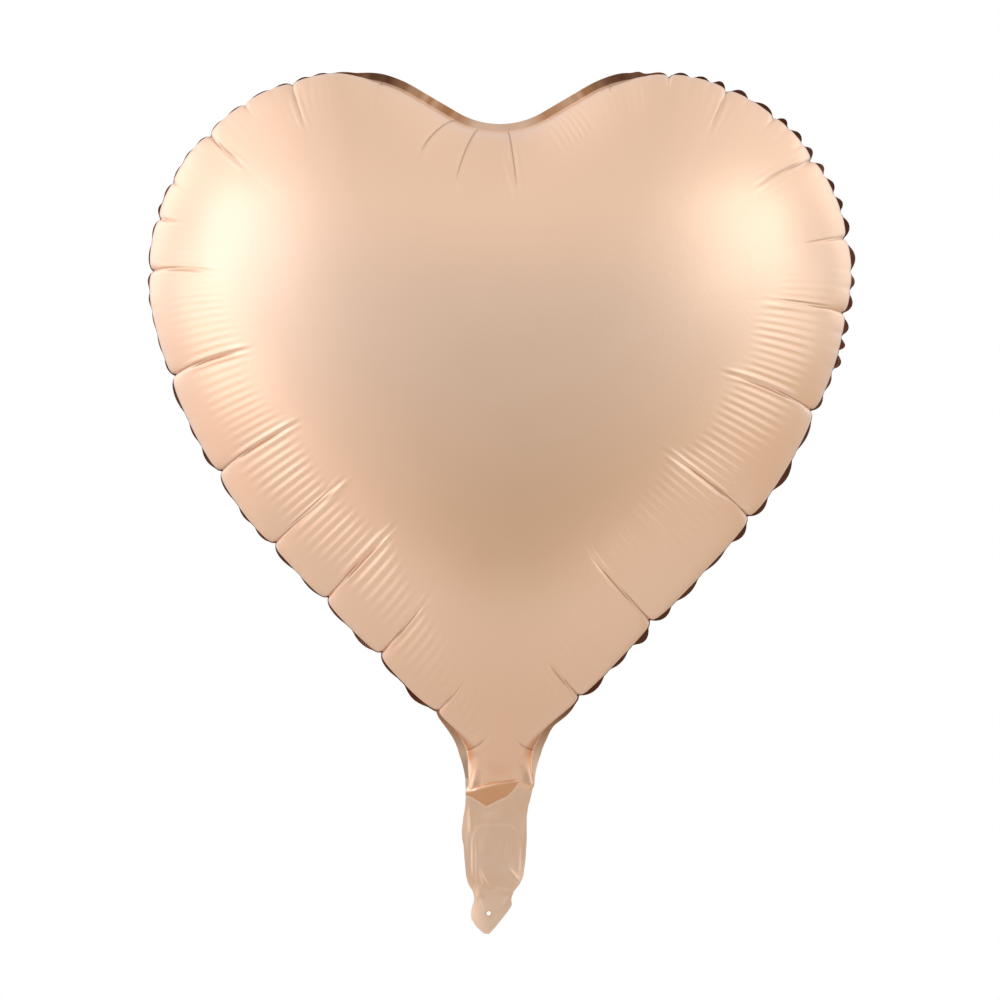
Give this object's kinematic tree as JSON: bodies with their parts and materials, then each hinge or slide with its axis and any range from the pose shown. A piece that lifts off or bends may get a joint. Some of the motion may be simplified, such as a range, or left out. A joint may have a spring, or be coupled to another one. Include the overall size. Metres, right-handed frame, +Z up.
{
  "type": "foil balloon",
  "caption": "Inflated heart-shaped foil balloon in satin rose gold, with a crinkled sealed edge, a flat filling tail that folds at the neck and a self-closing film valve inside.",
  "frame": {"origin": "middle of the fold where the tail meets the heart's neck, on the plane of the seam; the ribbon is tied here", "axes": "+Z up through the heart to the cleft between its lobes, -Y out of the front, +X to the right of a person facing the front"},
  "size_m": [0.4018, 0.16, 0.491],
  "materials": {
    "foil": "satin rose-gold metallised film",
    "sealed_edge": "satin rose-gold film, fused flat",
    "valve_film": "clear soft film",
    "release_layer": "translucent heat-resistant layer"
  },
  "bodies": {
    "heart": {"front_panel": "foil", "back_panel": "foil", "edge_seal": "sealed_edge", "neck_seal": "sealed_edge", "release_strip": "release_layer"},
    "tail": {"tail_front": "foil", "tail_back": "foil", "tail_seal_left": "sealed_edge", "tail_seal_right": "sealed_edge", "valve_inlet_front": "valve_film", "valve_inlet_back": "valve_film"},
    "front_leaf": {"valve_leaf_front": "valve_film"},
    "back_leaf": {"valve_leaf_back": "valve_film"}
  },
  "joints": [
    {"name": "tail_fold", "type": "hinge", "parent": "heart", "child": "tail", "pos_m": [0, 0, 0], "axis": [1, 0, 0], "range_deg": [-120, 120]},
    {"name": "front_leaf_open", "type": "hinge", "parent": "heart", "child": "front_leaf", "pos_m": [0, 0, 0.01], "axis": [1, 0, 0], "range_deg": [0, 9], "stiffness_Nm_per_rad": 0.001},
    {"name": "back_leaf_open", "type": "hinge", "parent": "heart", "child": "back_leaf", "pos_m": [0, 0, 0.01], "axis": [1, 0, 0], "range_deg": [-9, 0], "stiffness_Nm_per_rad": 0.001}
  ],
  "couplings": [
    {"joint": "back_leaf_open", "follows": "front_leaf_open", "ratio": -1}
  ]
}
